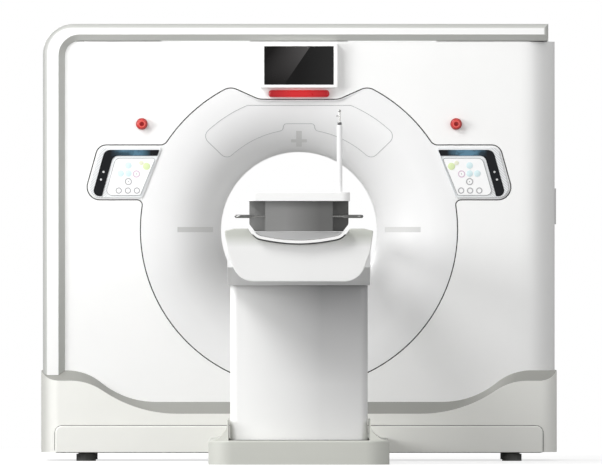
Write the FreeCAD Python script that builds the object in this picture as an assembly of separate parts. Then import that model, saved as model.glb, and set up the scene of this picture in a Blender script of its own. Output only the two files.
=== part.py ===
"""Whole-body CT scanner: gantry with rotating scan unit, and patient table.

Frame: millimetres, +Z up, +X to the right of someone at the table's foot,
+Y from the table into the bore. The origin is on the floor, in the middle of
the scanner's length. Working coordinates put Y = 0 on the gantry's front cover;
save() moves each piece to the final origin.
"""
import FreeCAD, Part
import math
import os

V = FreeCAD.Vector

# ---- Gantry: overall sizes ------------------------------------------------
COVER_HALF = 1142.0        # half width over the upper covers
BASE_LAP = 8.0             # base covers outside the upper covers, each side
GANTRY_TOP = 1949.0
GANTRY_DEPTH = 960.0       # front cover plane to rear cover plane
FLOOR_GAP = 40.0           # covers' lower edge above the floor
SKIN = 5.0                 # wall of the moulded covers
SEAM = 3.0                 # open seam between neighbouring covers
SEAT = 0.3                 # gap between parts that bear on each other
SIDE_R = 150.0             # plan radius of the front cover's right edge
SHOULDER_Z = 1871.0        # top edge of the front and right covers

# ---- Bore and bell mouths -------------------------------------------------
BORE_R = 350.0
BORE_Z = 1032.0
BELL_R = 705.0             # outer radius of each bell mouth
BELL_DEPTH = 240.0
SEGMENTS = 24              # moulded segments round the bore, in each bell and tunnel
WINDOW_WIDTH = 100.0       # ring that the beam passes

# ---- Front fascia outline -------------------------------------------------
FASCIA_SEAM = 5.0
NOTCH_Z = 1610.5           # flat of the notch over the bell mouth
NOTCH_HALF = 178.0
NOTCH_SLOPE = math.radians(24.0)
NOTCH_R = 80.0
HORN_R = 60.0
EAR_TOP = 1407.0
EAR_BOTTOM = 1167.0
EAR_TOP_X = 893.0          # sharp corner before rounding
EAR_BOTTOM_X = 960.0
EAR_TOP_R = 45.0
EAR_BOTTOM_R = 55.0
EAR_ROOT_TOP_R = 40.0
EAR_ROOT_BOTTOM_R = 25.0
FLANGE_LAP = 15.0          # fascia flange behind the front cover
RIM = 3.0

# ---- Raised band on the roof and the left side ----------------------------
BAND_PROUD = 30.0
BAND_SIDE = 97.5           # width at its foot, on the left
BAND_TOP = 75.0            # width at its foot, along the roof
BAND_BEVEL = 28.0
BAND_OUTER_R = 134.0
BAND_INNER_R = 66.0
BAND_EDGE_R = 24.0         # soft outer edge
BAND_END_STEP = 30.0       # roof's right end, inside the right cover's face

# ---- Vents in the rear doors ----------------------------------------------
VENT_ROWS = 6
VENT_PITCH = 18.0
VENT_H = 8.0
VENT_LENGTH = 400.0
VENT_X = (-620.0, 220.0)   # left end of each group
VENT_BOTTOM = 1790.0

# ---- Base covers ----------------------------------------------------------
BASE_PROUD = 60.0
BASE_CORNER_R = 80.0
KICK_PROUD = 10.0
KICK_INSET = 63.0          # kick panel's ends, inside the base cover's
KICK_TOP = 157.0
# wave of the front face's top edge, and of the bevel behind it:
# low level, high level, x of the two sharp corners, their radii
FACE_WAVE = (211.0, 358.0, 723.4, 940.4, 590.0, 250.0)
BEVEL_WAVE = (264.0, 404.0, 776.3, 948.7, 380.0, 236.0)

# ---- Front equipment ------------------------------------------------------
MONITOR_W = 346.0
MONITOR_H = 199.0
MONITOR_BOTTOM = 1664.0
MONITOR_PROUD = 45.0
SCREEN_W = 310.0
SCREEN_H = 172.0
LAMP_W = 272.0
LAMP_BOTTOM = 1622.0
LAMP_H = 32.0
LAMP_PROUD = 24.0
ESTOP_X = 701.0
ESTOP_Z = 1503.0
ESTOP_CAP_D = 42.0
ESTOP_COLLAR_D = 52.0
ESTOP_STEM_D = 20.0
PANEL_PROUD = 8.0

# ---- Scan unit inside the gantry ------------------------------------------
ISO_Y = GANTRY_DEPTH / 2   # scan plane
ROTOR_R = 800.0
ROTOR_BORE_R = 372.0
BEARING_R = 612.0
BEARING_W = 28.0
RUN_GAP = 0.1              # radial running clearance
BELT_RIM_R = 712.0
BELT_W = 26.0
BELT_T = 4.0
PULLEY_R = 50.0
PULLEY_REACH = 840.0       # pulley axis from the bore axis
PULLEY_ANGLE = math.radians(-40.0)
FLANGE_Y = 500.0           # front face of the rotor's disc
FLANGE_T = 20.0
SLIP_RING_T = 20.0
DRUM_WALL = 12.0
STATOR_T = 40.0
STATOR_HALF = 780.0
SHAFT_R = 15.0
FRAME_BOTTOM = 60.0
FRAME_TOP = 140.0
FRAME_BAR = 80.0           # width of the base frame's bars
POST_W = 40.0
FAN_X = -300.0
FAN_Y = 820.0
FAN_HALF = 100.0
FAN_HUB_R = 28.0

# ---- Table ----------------------------------------------------------------
TABLE_HALF = 396.0
TABLE_BASE_TOP = 105.0
TABLE_BASE_FRONT = -1900.0
TABLE_CORNER_R = 100.0
PEDESTAL_HALF = 301.0
PEDESTAL_FRONT = -1750.0
PEDESTAL_REAR = -650.0
PEDESTAL_TOP = 800.0
PEDESTAL_GAP = 7.0
PEDESTAL_WALL = 4.0
BASE_PLATE_T = 16.0
FIN_TOP = 194.0            # top of the base cover's fins beside the pedestal
ANCHOR_X = 320.0
ANCHOR_Y = (-1780.0, -180.0)
ANCHOR_R = 9.0
COLUMN_HALF = 130.0
COLUMN_WALL = 10.0
COLUMN_TOP = 590.0
CEILING_Z = 925.0          # closed top inside the table head
HEAD_LAP = 11.0            # head skirt outside the pedestal, each side
HEAD_BOTTOM = 784.0
HEAD_TOP = 1006.0
HEAD_REAR = -250.0
NOSE_FRONT = -2250.0
NOSE_REAR = -2120.0
CRADLE_FRONT = -2290.0
CRADLE_LENGTH = 2250.0
SADDLE_HALF = 222.0
SADDLE_TOP = 1031.0
SADDLE_BEND_HALF = 190.0   # where the saddle's side turns into its floor
SADDLE_BEND_Z = 984.0
SADDLE_BOTTOM = 950.0
SADDLE_BEND_R = 62.0
SADDLE_FLOOR_R = 700.0
NOSE_LAP = 12.0            # nose outside the head, each side
NOSE_FLOOR_HALF = 262.0
NOSE_EDGE_Z = 1021.0
NOSE_WAIST_Z = 930.0
NOSE_FLOOR_Z = 799.0
CRADLE_WALL = 12.0
CRADLE_GAP = 5.0           # between the cradle and the nose's saddle
RAIL_GAP = 0.4             # between the cradle and the rail it slides on

# ---- End block, tray, handles and pole ------------------------------------
BLOCK_HALF = 147.0
BLOCK_FLOOR = 1019.0
TRAY_BOTTOM = 1151.0
TRAY_TOP = 1189.0
TRAY_HALF = 222.0
TRAY_LENGTH = 300.0
HANDLE_REACH = 278.0
HANDLE_Z = 1084.0
HANDLE_D = 9.0
HANDLE_LENGTH = 130.0
POLE_X = 177.0
POLE_TUBE_D = 24.0
POLE_TUBE_TOP = 1482.0
POLE_ROD_D = 8.0
POLE_TOP = 1549.0

# ---- Worked out from the sizes above ---------------------------------------
BASE_HALF = COVER_HALF + BASE_LAP
FRAME_HALF = BASE_HALF - SKIN - SEAT
RETURN_Y = SIDE_R + 60.0   # how far the front covers reach back
SIDE_FOOT_Z = FLOOR_GAP + 260.0
STATOR_Y = FLANGE_Y + 75.0
PULLEY_X = PULLEY_REACH * math.cos(PULLEY_ANGLE)
PULLEY_Z = BORE_Z + PULLEY_REACH * math.sin(PULLEY_ANGLE)
BELT_Y = FLANGE_Y + FLANGE_T + 3.0
LIFT_Y = (PEDESTAL_FRONT + PEDESTAL_REAR) / 2
HEAD_HALF = PEDESTAL_HALF + HEAD_LAP
NOSE_HALF = HEAD_HALF + NOSE_LAP
BAND_END_X = COVER_HALF - BAND_END_STEP
KICK_HALF = BASE_HALF - KICK_INSET
FOOT_X = COVER_HALF - 192.0
WIDE = COVER_HALF + 200.0  # past every cover, for cutting shapes
ORIGIN_Y = (CRADLE_FRONT + GANTRY_DEPTH) / 2


# ---- Building blocks ------------------------------------------------------
def rounded(points, radii, place):
    """Closed wire through a polygon, each corner rounded by its own radius."""
    count = len(points)
    if isinstance(radii, (int, float)):
        radii = [radii] * count
    spots = [V(p[0], p[1], 0) for p in points]
    arcs = []
    for i, (spot, radius) in enumerate(zip(spots, radii)):
        before = (spots[i - 1] - spot).normalize()
        after = (spots[(i + 1) % count] - spot).normalize()
        half = before.getAngle(after) / 2
        if radius <= 0 or abs(half - math.pi / 2) < 1e-6:
            arcs.append((spot, None, spot))
            continue
        reach = radius / math.tan(half)
        middle = (before + after).normalize() * (radius / math.sin(half) - radius)
        arcs.append((spot + before * reach, spot + middle, spot + after * reach))
    edges = []
    for i, (start, middle, end) in enumerate(arcs):
        if middle is not None:
            ends = [place(q.x, q.y) for q in (start, middle, end)]
            edges.append(Part.Arc(*ends).toShape())
        nxt = arcs[(i + 1) % count][0]
        if (nxt - end).Length > 1e-4:
            edges.append(Part.makeLine(place(end.x, end.y), place(nxt.x, nxt.y)))
    return Part.Wire(edges)


def front_plane(y):
    return lambda u, v: V(u, y, v)


def plan_plane(z):
    return lambda u, v: V(u, v, z)


def side_plane(x):
    return lambda u, v: V(x, u, v)


def front_prism(points, radii, y0, y1):
    """Outline drawn in X and Z, extruded along Y."""
    return Part.Face(rounded(points, radii, front_plane(y0))).extrude(V(0, y1 - y0, 0))


def plan_prism(points, radii, z0, z1):
    """Outline drawn in X and Y, extruded along Z."""
    return Part.Face(rounded(points, radii, plan_plane(z0))).extrude(V(0, 0, z1 - z0))


def side_prism(points, radii, x0, x1):
    """Outline drawn in Y and Z, extruded along X."""
    return Part.Face(rounded(points, radii, side_plane(x0))).extrude(V(x1 - x0, 0, 0))


def box(x0, x1, y0, y1, z0, z1):
    return Part.makeBox(x1 - x0, y1 - y0, z1 - z0, V(x0, y0, z0))


def rod_y(x, z, radius, y0, y1):
    return Part.makeCylinder(radius, y1 - y0, V(x, y0, z), V(0, 1, 0))


def rod_z(x, y, radius, z0, z1):
    return Part.makeCylinder(radius, z1 - z0, V(x, y, z0), V(0, 0, 1))


def ring_y(inner, outer, y0, y1, x=0.0, z=BORE_Z):
    return rod_y(x, z, outer, y0, y1).cut(rod_y(x, z, inner, y0 - 1, y1 + 1))


def tube_z(x, y, inner, outer, z0, z1):
    return rod_z(x, y, outer, z0, z1).cut(rod_z(x, y, inner, z0 - 1, z1 + 1))


def rectangle(x0, x1, v0, v1):
    return [(x0, v0), (x1, v0), (x1, v1), (x0, v1)]


def mirrored(shape):
    return shape.mirror(V(0, 0, 0), V(1, 0, 0))


def round_along_y(solid, corners):
    """Fillet the Y-wise edge nearest to each (x, z, radius)."""
    for x, z, radius in corners:
        best = None
        for edge in solid.Edges:
            if len(edge.Vertexes) != 2:
                continue
            a, b = edge.Vertexes[0].Point, edge.Vertexes[1].Point
            if abs(a.x - b.x) > 0.01 or abs(a.z - b.z) > 0.01:
                continue
            away = math.hypot(a.x - x, a.z - z)
            if best is None or away < best[0]:
                best = (away, edge)
        solid = solid.makeFillet(radius, [best[1]])
    return solid


def joined(first, *others):
    return first.multiFuse(list(others)).removeSplitter()


def save(name, *solids):
    """Write the piece's solids, moved to the scanner's origin, as one file."""
    flat = []
    for shape in solids:
        flat.extend(shape.Solids)
    moved = Part.makeCompound(flat) if len(flat) > 1 else flat[0].copy()
    moved.translate(V(0, -ORIGIN_Y, 0))
    if not moved.isValid():
        raise ValueError(name + " is not a valid solid")
    moved.exportStep(os.path.join("parts", name + ".step"))


def sectors(shape, y0, y1):
    """Equal segments of a shape round the bore axis, butted edge to edge."""
    step = 2 * math.pi / SEGMENTS
    reach = 2 * COVER_HALF
    segments = []
    for i in range(SEGMENTS):
        rays = [(reach * math.cos(a), BORE_Z + reach * math.sin(a)) for a in (i * step, (i + 1) * step)]
        segments.append(shape.common(front_prism([(0, BORE_Z)] + rays, 0, y0, y1)))
    return segments


# ---- Fascia outline, shared by the fascia and the hole it sits in ----------
def fascia_prism(grow, y0, y1):
    """Disc with two ears and a notch on top, offset outwards by grow."""
    disc_r = BELL_R + grow
    solid = rod_y(0, BORE_Z, disc_r, y0, y1)
    lean = (EAR_BOTTOM_X - EAR_TOP_X) / (EAR_TOP - EAR_BOTTOM)
    slant = grow * math.hypot(1, lean)
    top = EAR_TOP + grow
    bottom = EAR_BOTTOM - grow
    top_x = EAR_TOP_X + slant - lean * grow
    bottom_x = EAR_BOTTOM_X + slant + lean * grow
    corners = [(0, bottom), (bottom_x, bottom), (top_x, top), (0, top)]
    ear = front_prism(corners, [0, EAR_BOTTOM_R + grow, EAR_TOP_R + grow, 0], y0, y1)
    notch_z = NOTCH_Z + grow
    notch_half = NOTCH_HALF - grow * math.tan(NOTCH_SLOPE / 2)
    rise = 400.0
    run = rise / math.tan(NOTCH_SLOPE)
    sky = [(-notch_half, notch_z), (notch_half, notch_z),
           (notch_half + run, notch_z + rise), (-notch_half - run, notch_z + rise)]
    notch_r = NOTCH_R - grow
    notch = front_prism(sky, [notch_r, notch_r, 0, 0], y0 - 1, y1 + 1)
    solid = joined(solid, ear, mirrored(ear)).cut(notch)
    corners = []
    for level, radius in ((top, EAR_ROOT_TOP_R), (bottom, EAR_ROOT_BOTTOM_R)):
        x = math.sqrt(disc_r ** 2 - (level - BORE_Z) ** 2)
        corners += [(x, level, radius - grow), (-x, level, radius - grow)]
    horn_x, horn_z = horn_tip(disc_r, notch_half, notch_z)
    corners += [(horn_x, horn_z, HORN_R + grow), (-horn_x, horn_z, HORN_R + grow)]
    return round_along_y(solid, corners)


def horn_tip(disc_r, notch_half, notch_z):
    """Where the notch's sloping side meets the disc."""
    slope = math.tan(NOTCH_SLOPE)
    level = notch_z - BORE_Z - slope * notch_half
    a = 1 + slope ** 2
    x = (-slope * level + math.sqrt(slope ** 2 * level ** 2 - a * (level ** 2 - disc_r ** 2))) / a
    return x, BORE_Z + level + slope * x


# ---- Bell mouths ----------------------------------------------------------
def bell(face_y, inward, skin=SKIN, lift=0.0):
    """Quarter-ellipse bell from the cover plane to the tunnel, as a shell.

    lift raises the visible face, for pieces that stand proud of the bell.
    """
    reach_r = BELL_R - BORE_R
    centre = V(BELL_R, face_y + inward * BELL_DEPTH, BORE_Z)

    def quarter(shrink):
        a, b = reach_r - shrink, BELL_DEPTH - shrink
        major, minor = centre + V(-a, 0, 0), centre + V(0, -inward * b, 0)
        if a < b:
            return Part.Arc(Part.Ellipse(minor, major, centre), 0, math.pi / 2).toShape()
        return Part.Arc(Part.Ellipse(major, minor, centre), 0, math.pi / 2).toShape()

    outer, inner = quarter(-lift), quarter(skin)
    ends = [edge.valueAt(t) for edge in (outer, inner)
            for t in (edge.FirstParameter, edge.LastParameter)]
    throat = Part.makeLine(ends[0], ends[2])
    brim = Part.makeLine(ends[1], ends[3])
    section = Part.Face(Part.Wire(Part.__sortEdges__([outer, throat, inner, brim])))
    return section.revolve(V(0, 0, BORE_Z), V(0, 1, 0), 360)


def service_panel_prism(grow, y0, y1):
    """Banana-shaped panel over the bore, between two arcs about its axis."""
    outer_r, inner_r, half_angle = 600.0 + grow, 448.0 - grow, math.radians(46.0)
    top_z, hump_half, hump_z, corner = 1586.0 + grow, 70.0 - grow, 1505.0 - grow, 34.0
    solid = ring_y(inner_r, outer_r, y0, y1)
    far = 900.0
    edge = grow / math.cos(half_angle)
    wedge = front_prism([(0, BORE_Z - edge), (far * math.tan(half_angle), BORE_Z + far - edge),
                         (-far * math.tan(half_angle), BORE_Z + far - edge)], 0, y0, y1)
    solid = solid.common(wedge)
    solid = solid.cut(box(-far, far, y0, y1, top_z, top_z + far))
    solid = solid.cut(box(-hump_half, hump_half, y0, y1, hump_z - far, hump_z))
    corners = []
    for radius in (outer_r, inner_r):
        x, z = radius * math.sin(half_angle), BORE_Z + radius * math.cos(half_angle)
        corners += [(x, z, corner + grow), (-x, z, corner + grow)]
    hump_foot = BORE_Z + math.sqrt(inner_r ** 2 - hump_half ** 2)
    for side in (-1, 1):
        corners += [(side * hump_half, hump_foot, 18.0 + grow), (side * hump_half, hump_z, 14.0 - grow)]
    return round_along_y(solid, corners)


def cross_prism(grow, y0, y1):
    """Plus-shaped window of the positioning light over the bore."""
    bar = box(-12 - grow, 12 + grow, y0, y1, 1403 - grow, 1472 + grow)
    arm = box(-35 - grow, 35 + grow, y0, y1, 1422 - grow, 1435 + grow)
    return joined(bar, arm)


def slot_prism(grow, y0, y1):
    """Long window of the positioning light, at the level of the bore's axis."""
    return box(384 - grow, 542 + grow, y0, y1, BORE_Z - 11 - grow, BORE_Z + 11 + grow)


def make_fascia():
    deep = BELL_DEPTH + 20
    dish = bell(0, 1)
    plate = box(-WIDE, WIDE, 0, SKIN, 900, 1800).cut(rod_y(0, BORE_Z, BELL_R, -1, SKIN + 1))
    blank = joined(dish, plate).common(fascia_prism(0, -10, deep))
    rim_back = 26.0
    inside = fascia_prism(-RIM, -10, rim_back + 10)
    rim = fascia_prism(0, 0, rim_back).cut(inside)
    flange_y = SKIN + SEAT
    flange = fascia_prism(FLANGE_LAP, flange_y, flange_y + RIM).cut(inside)
    fascia = joined(blank, rim, flange)
    gap = 0.8
    fascia = fascia.cut(service_panel_prism(gap, -10, deep))
    save("fascia_service_panel", dish.common(service_panel_prism(0, -10, deep)))
    slot, cross = slot_prism(SEAT, -10, deep), cross_prism(SEAT, -10, deep)
    fascia = fascia.cut(slot).cut(mirrored(slot)).cut(cross)
    save("bore_fascia", *sectors(fascia, -10, deep))
    side_window = dish.common(slot_prism(0, -10, deep))
    save("positioning_windows_side", side_window, mirrored(side_window))
    save("positioning_window_top", dish.common(cross_prism(0, -10, deep)))


# ---- Upper covers ---------------------------------------------------------
def front_cover_plan(grow, far_y):
    """Plan region behind the front cover's face, rounded at the right edge."""
    right = COVER_HALF + grow
    points = [(-COVER_HALF, -grow), (right, -grow), (right, far_y), (-COVER_HALF, far_y)]
    return points, [0, SIDE_R + grow, 0, 0]


def make_front_cover():
    low = BEVEL_WAVE[0] - 34.0
    left = -COVER_HALF + BAND_SIDE / 2
    back = RETURN_Y
    outer = plan_prism(*front_cover_plan(0, back), low, SHOULDER_Z)
    inner = plan_prism(*front_cover_plan(-SKIN, back + 1), low - 1, SHOULDER_Z - SKIN)
    shell = outer.cut(inner)
    shell = shell.cut(box(-COVER_HALF - 1, left, -1, back + 1, low - 1, GANTRY_TOP))
    shelf = box(-COVER_HALF, BAND_END_X - 20, SKIN + 1, back + 1, SHOULDER_Z - SKIN - 1, SHOULDER_Z + 1)
    shell = shell.cut(shelf)
    hole = fascia_prism(FASCIA_SEAM, -10, 60)
    shell = shell.cut(hole)
    for side in (-1, 1):
        shell = shell.cut(rod_y(side * ESTOP_X, ESTOP_Z, ESTOP_COLLAR_D / 2 - 6, -10, 20))
    save("front_cover", shell)


def make_right_side_cover():
    front, back = RETURN_Y + SEAM, GANTRY_DEPTH - SKIN - SEAM
    wall = box(COVER_HALF - SKIN, COVER_HALF, front, back, SIDE_FOOT_Z, SHOULDER_Z)
    shelf = box(BAND_END_X - 20, COVER_HALF, front, back, SHOULDER_Z - SKIN, SHOULDER_Z)
    cover = joined(wall, shelf)
    corner = [e for e in cover.Edges if len(e.Vertexes) == 2
              and all(abs(v.X - COVER_HALF) < 0.01 and abs(v.Z - SHOULDER_Z) < 0.01 for v in e.Vertexes)]
    save("right_side_cover", cover.makeFillet(SKIN - 1, corner))
    grip = box(COVER_HALF + SEAT, BASE_HALF, 300, 420, 1057, 1217)
    ends = [e for e in grip.Edges if abs(e.Vertexes[0].X - e.Vertexes[1].X) > 1]
    save("right_side_grip", grip.makeFillet(6, ends))


def wrap_outline(inset, right, foot, corner_r):
    """Region under the wrap's outer line, as a polygon with one round corner."""
    left, top = -COVER_HALF + inset, GANTRY_TOP - inset
    return [(left, foot), (left, top), (right, top), (right, foot)], [0, corner_r, 0, 0]


def make_roof_wrap():
    low = SIDE_FOOT_Z - 100
    points, radii = wrap_outline(0, BAND_END_X, low, BAND_OUTER_R)
    outer = front_prism(points, radii, -BAND_PROUD, GANTRY_DEPTH)
    left, top = -COVER_HALF + BAND_SIDE, GANTRY_TOP - BAND_TOP
    inner = front_prism([(left, low - 1), (left, top), (WIDE, top), (WIDE, low - 1)],
                        [0, BAND_INNER_R, 0, 0], -BAND_PROUD - 1, 1)
    band = outer.cut(inner)
    skin_points, skin_radii = wrap_outline(SKIN, WIDE, low - 1, BAND_OUTER_R - SKIN)
    hollow = front_prism(skin_points, skin_radii, 0, GANTRY_DEPTH + 1)
    end_wall = box(BAND_END_X - SKIN, BAND_END_X, 0, GANTRY_DEPTH, SHOULDER_Z + SEAT, GANTRY_TOP)
    wrap = joined(band.cut(hollow), end_wall)
    bevel = [e for e in wrap.Edges if on_front(e, -BAND_PROUD) and not on_outline(e)]
    wrap = wrap.makeChamfer(BAND_BEVEL, bevel)
    soft = [e for e in wrap.Edges if on_front(e, -BAND_PROUD) and on_outline(e)]
    wrap = wrap.makeFillet(BAND_EDGE_R, soft)
    wrap = wrap.cut(base_block(-SEAM / 2)).cut(box(-WIDE, WIDE, -100, GANTRY_DEPTH + 100, 0, SIDE_FOOT_Z))
    save("roof_wrap_cover", wrap)


def on_front(edge, y):
    return all(abs(v.Y - y) < 0.01 for v in edge.Vertexes)


def on_outline(edge):
    """True for edges of the wrap's outer line, left side and roof."""
    middle = edge.valueAt((edge.FirstParameter + edge.LastParameter) / 2)
    box_corner = (-COVER_HALF + BAND_OUTER_R, GANTRY_TOP - BAND_OUTER_R)
    if middle.x < box_corner[0] and middle.z > box_corner[1]:
        return math.hypot(middle.x - box_corner[0], middle.z - box_corner[1]) > BAND_OUTER_R - 1
    at_end = middle.x > BAND_END_X - 1
    return middle.x < -COVER_HALF + 1 or middle.z > GANTRY_TOP - 1 or at_end


def make_rear_cover():
    y0, y1 = GANTRY_DEPTH - SKIN, GANTRY_DEPTH
    side = COVER_HALF - SKIN - SEAT
    top = GANTRY_TOP - SKIN - SEAT
    end = BAND_END_X - SKIN - SEAT
    points = [(-side, SIDE_FOOT_Z), (side, SIDE_FOOT_Z), (side, SHOULDER_Z - SKIN - SEAT),
              (end, SHOULDER_Z - SKIN - SEAT), (end, top), (-side, top)]
    radii = [0, 0, 0, 0, 0, BAND_OUTER_R - SKIN - SEAT]
    plate = front_prism(points, radii, y0, y1)
    doors = plate.cut(rod_y(0, BORE_Z, BELL_R, y0 - 1, y1 + 1))
    for row in range(VENT_ROWS):
        z = VENT_BOTTOM + row * VENT_PITCH
        for x0 in VENT_X:
            doors = doors.cut(box(x0, x0 + VENT_LENGTH, y0 - 1, y1 + 1, z, z + VENT_H))
    left = doors.common(box(-WIDE, 0, y0 - 1, y1 + 1, 0, WIDE + GANTRY_TOP))
    right = doors.common(box(0, WIDE, y0 - 1, y1 + 1, 0, WIDE + GANTRY_TOP))
    rear_bell = sectors(bell(GANTRY_DEPTH, -1), GANTRY_DEPTH - BELL_DEPTH - 1, y1 + 1)
    save("rear_cover", left, right, *rear_bell)


def make_tunnel():
    front, back = BELL_DEPTH + SEAT, GANTRY_DEPTH - BELL_DEPTH - SEAT
    window0, window1 = ISO_Y - WINDOW_WIDTH / 2, ISO_Y + WINDOW_WIDTH / 2
    spans = ((front, window0 - SEAT), (window1 + SEAT, back))
    walls = [part for y0, y1 in spans for part in sectors(ring_y(BORE_R, BORE_R + SKIN, y0, y1), y0, y1)]
    save("bore_tunnels", *walls)
    save("scan_window_ring", ring_y(BORE_R + 1, BORE_R + 3, window0, window1))


# ---- Base covers ----------------------------------------------------------
def wave_wire(wave, side, y, drop, foot):
    low, high, x_low, x_high, r_low, r_high = wave
    points = [(-side, foot), (side, foot), (side, high - drop), (x_high, high - drop),
              (x_low, low - drop), (-x_low, low - drop), (-x_high, high - drop), (-side, high - drop)]
    return rounded(points, [0, 0, 0, r_high, r_low, r_low, r_high, 0], front_plane(y))


def base_block(inset, foot=0.0):
    """Solid form of the front base cover, with its waved and bevelled top."""
    side = BASE_HALF - inset
    front = -BASE_PROUD + inset
    face = wave_wire(FACE_WAVE, side, front, inset, foot)
    edge = wave_wire(BEVEL_WAVE, side, 0, inset, foot)
    slope = Part.makeLoft([face, edge], True, True)
    rear = Part.Face(edge).extrude(V(0, RETURN_Y, 0))
    plan = [(-side, front), (side, front), (side, RETURN_Y), (-side, RETURN_Y)]
    corner = BASE_CORNER_R - inset
    return joined(slope, rear).common(plan_prism(plan, [corner, corner, 0, 0], foot, 500))


def make_base_covers():
    block = base_block(0).cut(base_block(SKIN, -10))
    block = block.cut(box(-WIDE, WIDE, -100, 400, -20, FLOOR_GAP))
    points, radii = front_cover_plan(2 * SEAT, RETURN_Y + 1)
    block = block.cut(plan_prism(points, radii, BEVEL_WAVE[0] - 40.0, 500))
    save("base_front_cover", block)
    kick = front_prism([(-KICK_HALF, FLOOR_GAP), (KICK_HALF, FLOOR_GAP),
                        (KICK_HALF, KICK_TOP), (-KICK_HALF, KICK_TOP)],
                       [0, 0, 30, 30], -BASE_PROUD - KICK_PROUD, -BASE_PROUD)
    rim = [e for e in kick.Edges if on_front(e, -BASE_PROUD - KICK_PROUD)
           and e.Vertexes[0].Z + e.Vertexes[-1].Z > 2 * FLOOR_GAP + 1]
    save("base_kick_panel", kick.makeFillet(KICK_PROUD - 3, rim))
    rear_y = GANTRY_DEPTH - SKIN - SEAM
    top = BEVEL_WAVE[1]
    for side, name in ((-1, "base_left_cover"), (1, "base_right_cover")):
        x0, x1 = sorted((side * (BASE_HALF - SKIN), side * BASE_HALF))
        save(name, box(x0, x1, RETURN_Y + SEAM, rear_y, FLOOR_GAP, top))
    save("base_rear_cover", box(-BASE_HALF, BASE_HALF, GANTRY_DEPTH - SKIN, GANTRY_DEPTH,
                                FLOOR_GAP, SIDE_FOOT_Z - SEAM))


# ---- Front equipment ------------------------------------------------------
def make_monitor():
    half, top = MONITOR_W / 2, MONITOR_BOTTOM + MONITOR_H
    middle = MONITOR_BOTTOM + MONITOR_H / 2
    glass_t, recess = 3.0, 4.0
    housing = front_prism(rectangle(-half, half, MONITOR_BOTTOM, top), 6, -MONITOR_PROUD, 0)
    rim = [e for e in housing.Edges if on_front(e, -MONITOR_PROUD)]
    housing = housing.makeFillet(3.0, rim)
    screen = rectangle(-SCREEN_W / 2, SCREEN_W / 2, middle - SCREEN_H / 2, middle + SCREEN_H / 2)
    pocket = front_prism(screen, 3, -MONITOR_PROUD - 1, -MONITOR_PROUD + recess)
    save("monitor_housing", housing.cut(pocket))
    glass_y = -MONITOR_PROUD + recess
    save("monitor_screen", front_prism(screen, 3, glass_y - glass_t, glass_y))
    lamp = front_prism(rectangle(-LAMP_W / 2, LAMP_W / 2, LAMP_BOTTOM, LAMP_BOTTOM + LAMP_H),
                       14, -LAMP_PROUD, 0)
    rim = [e for e in lamp.Edges if on_front(e, -LAMP_PROUD)]
    save("status_lamp_lens", lamp.makeFillet(10.0, rim))


def make_estops():
    collars = []
    for side, word in ((-1, "left"), (1, "right")):
        x, z = side * ESTOP_X, ESTOP_Z
        collar_y, cap_y, cap_t, stem_back = -12.0, -20.0, 14.0, 22.0
        collar = ring_y(ESTOP_STEM_D / 2 + RUN_GAP, ESTOP_COLLAR_D / 2, collar_y, 0, x, z)
        rim = [e for e in collar.Edges if on_front(e, collar_y) and len(e.Vertexes) == 1
               and abs(e.Curve.Radius - ESTOP_COLLAR_D / 2) < 0.1]
        collars.append(collar.makeFillet(3.0, rim))
        cap = rod_y(x, z, ESTOP_CAP_D / 2, cap_y - cap_t, cap_y)
        rim = [e for e in cap.Edges if on_front(e, cap_y - cap_t) and len(e.Vertexes) == 1]
        cap = cap.makeFillet(6.0, rim)
        stem = rod_y(x, z, ESTOP_STEM_D / 2, cap_y, stem_back)
        save("estop_" + word + "_button", joined(cap, stem))
    save("estop_collars", *collars)


def make_panels():
    """Control panels on the fascia's ears: bezel, display strip and keypad."""
    pocket_y, display_y, keypad_y = -3.0, -6.0, -6.5
    slope = (EAR_BOTTOM_X - EAR_TOP_X) / (EAR_TOP - EAR_BOTTOM)

    def strip(top, bottom, inner_top, inner_bottom, offset, radii, y0, y1):
        """Four-cornered area whose outer side is parallel to the ear's edge."""
        outer_top = EAR_TOP_X - offset + slope * (EAR_TOP - top)
        outer_bottom = EAR_TOP_X - offset + slope * (EAR_TOP - bottom)
        points = [(inner_bottom, bottom), (outer_bottom, bottom), (outer_top, top), (inner_top, top)]
        return front_prism(points, radii, y0, y1)

    bezel = strip(1399, 1174, 612, 700, 9, [10, 46, 38, 8], -PANEL_PROUD, 0)
    rim = [e for e in bezel.Edges if on_front(e, -PANEL_PROUD)]
    bezel = bezel.makeFillet(2.5, rim)
    pocket = strip(1388, 1180, 620, 701, 32, [4, 26, 34, 4], -PANEL_PROUD - 1, pocket_y)
    display = strip(1387, 1181, 622, 702, 33, [3, 25, 33, 3], display_y, pocket_y)
    inner = strip(1361, 1170, 560, 560, 77, [0, 0, 30, 0], display_y - 1, pocket_y + 1)
    display = display.cut(inner)
    keypad = strip(1350, 1185, 640, 708, 91, [8, 22, 26, 8], keypad_y, pocket_y)
    for name, solid in (("bezel", bezel.cut(pocket)), ("keypad", keypad)):
        save("panel_right_" + name, solid)
        save("panel_left_" + name, mirrored(solid))
    save("panel_displays", display, mirrored(display))


# ---- Scan unit ------------------------------------------------------------
def revolved(points):
    """Solid of revolution about the bore axis, from (radius, y) corners."""
    wire = rounded(points, 0, lambda r, y: V(r, y, BORE_Z))
    return Part.Face(wire).revolve(V(0, 0, BORE_Z), V(0, 1, 0), 360)


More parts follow.
